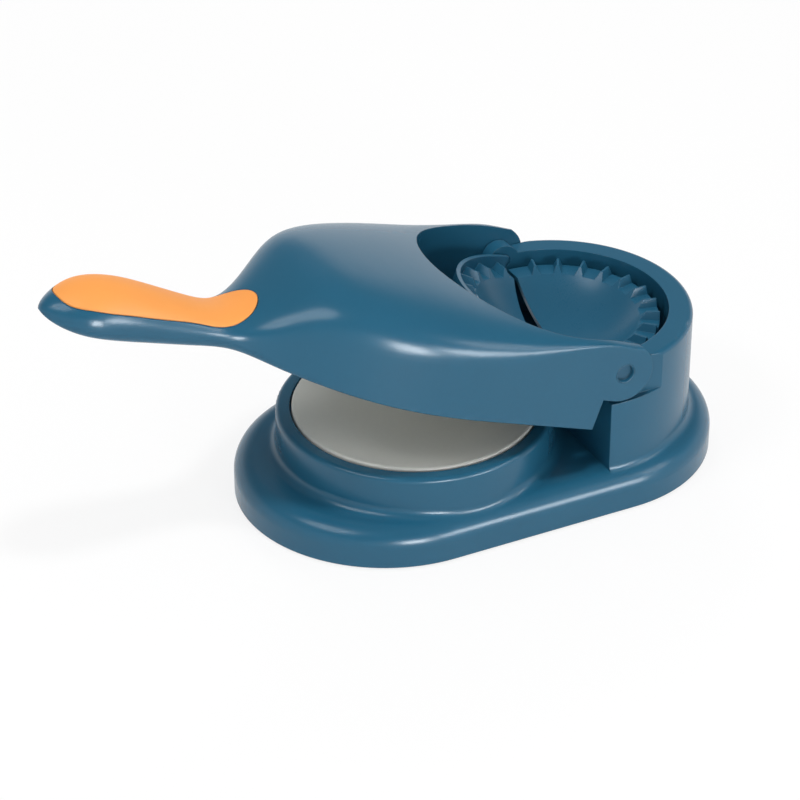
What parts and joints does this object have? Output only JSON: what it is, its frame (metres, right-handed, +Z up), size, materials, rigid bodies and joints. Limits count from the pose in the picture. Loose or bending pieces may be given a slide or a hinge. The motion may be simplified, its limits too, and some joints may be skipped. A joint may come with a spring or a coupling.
{
  "type": "dumpling maker",
  "caption": "Hand-operated dumpling maker: oval base with a dough press cup and a crimping mould well, and a hinged paddle lever with a mould half and a grip inlay.",
  "frame": {"origin": "centre of the base's footprint, on the underside of the middle foot", "axes": "+X to the rear, from the handle to the mould tower; +Z up; +Y along the hinge axis"},
  "size_m": [0.2788, 0.12, 0.1231],
  "materials": {
    "blue_plastic": "satin moulded plastic",
    "orange_grip": "soft matte grip",
    "plate_plastic": "satin off-white plastic",
    "foot_rubber": "matte",
    "steel": "plated"
  },
  "bodies": {
    "base": {"base_shell": "blue_plastic", "bottom_cover": "blue_plastic", "lower_press_plate": "plate_plastic", "foot_front_left": "foot_rubber", "foot_front_right": "foot_rubber", "foot_rear_left": "foot_rubber", "foot_rear_right": "foot_rubber", "foot_middle": "foot_rubber", "cover_screws": "steel", "rear_mould": "blue_plastic", "rear_mould_screws": "steel"},
    "lever": {"lever_shell": "blue_plastic", "handle_inlay": "orange_grip", "lever_under_cover": "blue_plastic", "upper_press_plate": "plate_plastic", "front_mould": "blue_plastic", "under_cover_screws": "steel", "front_mould_screws": "steel", "upper_plate_screws": "steel", "hinge_pin_left": "blue_plastic", "hinge_pin_right": "blue_plastic"}
  },
  "joints": [
    {"name": "lever_hinge", "type": "hinge", "parent": "base", "child": "lever", "pos_m": [0.036, 0, 0.06], "axis": [0, 1, 0], "range_deg": [-20, 160]}
  ]
}
